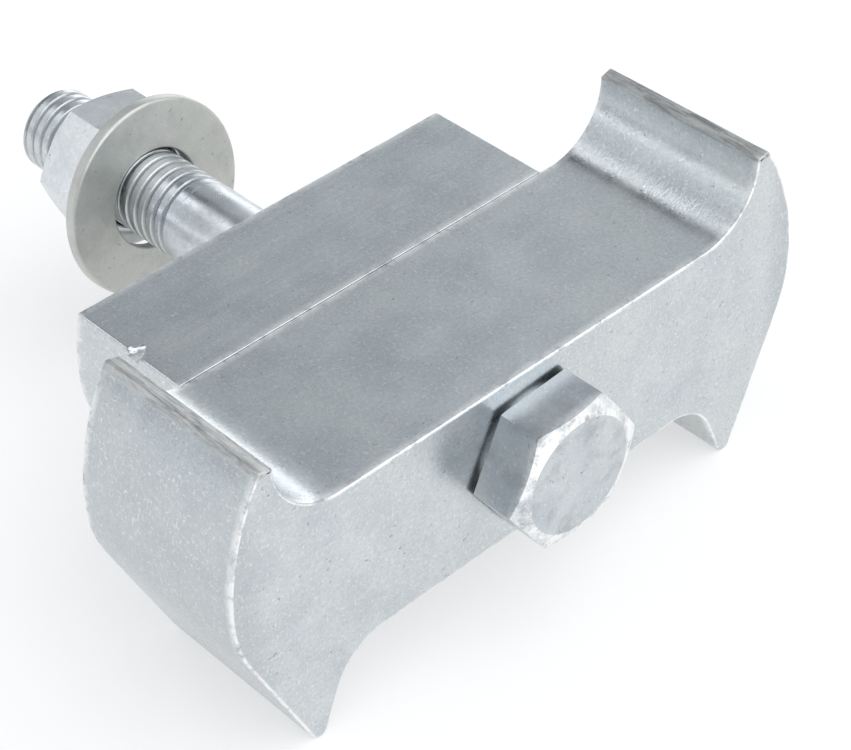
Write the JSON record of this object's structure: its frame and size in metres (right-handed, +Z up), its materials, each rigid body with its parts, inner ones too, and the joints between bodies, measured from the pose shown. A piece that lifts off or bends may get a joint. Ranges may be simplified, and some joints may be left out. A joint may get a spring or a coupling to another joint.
{
  "type": "two-block bolt clamp",
  "caption": "Bolt clamp: a horned steel jaw block and a plain pressure block on one long hex bolt, closed by a washer and nut.",
  "frame": {"origin": "below the middle of the bounding box, on the plane of the lower horn tips", "axes": "+Y along the bolt from its head to its nut, +Z up from the lower horns to the upper horns, +X along the blocks"},
  "size_m": [0.091, 0.1014, 0.0448],
  "materials": {
    "jaw_zinc": "bright zinc plated, satin, lightly drawn and tumbled",
    "pressure_zinc": "bright zinc plated, satin, fine drawn lines along the block",
    "bolt_zinc": "bright zinc plated, smooth",
    "washer_zinc": "zinc plated, matt",
    "nut_zinc": "bright zinc plated, smooth"
  },
  "bodies": {
    "jaw": {"jaw_block": "jaw_zinc"},
    "pressure": {"pressure_block": "pressure_zinc"},
    "bolt": {"hex_bolt": "bolt_zinc"},
    "washer": {"flat_washer": "washer_zinc"},
    "nut": {"hex_nut": "nut_zinc"}
  },
  "joints": [
    {"name": "bolt_spin", "type": "hinge", "parent": "jaw", "child": "bolt", "pos_m": [0, -0.04325, 0.0232], "axis": [0, 1, 0], "continuous": true},
    {"name": "pressure_slide", "type": "slide", "parent": "jaw", "child": "pressure", "axis": [0, 1, 0], "range_m": [0, 0.013]},
    {"name": "nut_travel", "type": "slide", "parent": "bolt", "child": "washer", "axis": [0, 1, 0], "range_m": [-0.011, 0.008]},
    {"name": "nut_turn", "type": "hinge", "parent": "washer", "child": "nut", "pos_m": [0, 0.03045, 0.0232], "axis": [0, 1, 0], "range_deg": [-2260, 1640]}
  ],
  "couplings": [
    {"joint": "nut_travel", "follows": "nut_turn", "m_per_rad": 0.00027852}
  ]
}
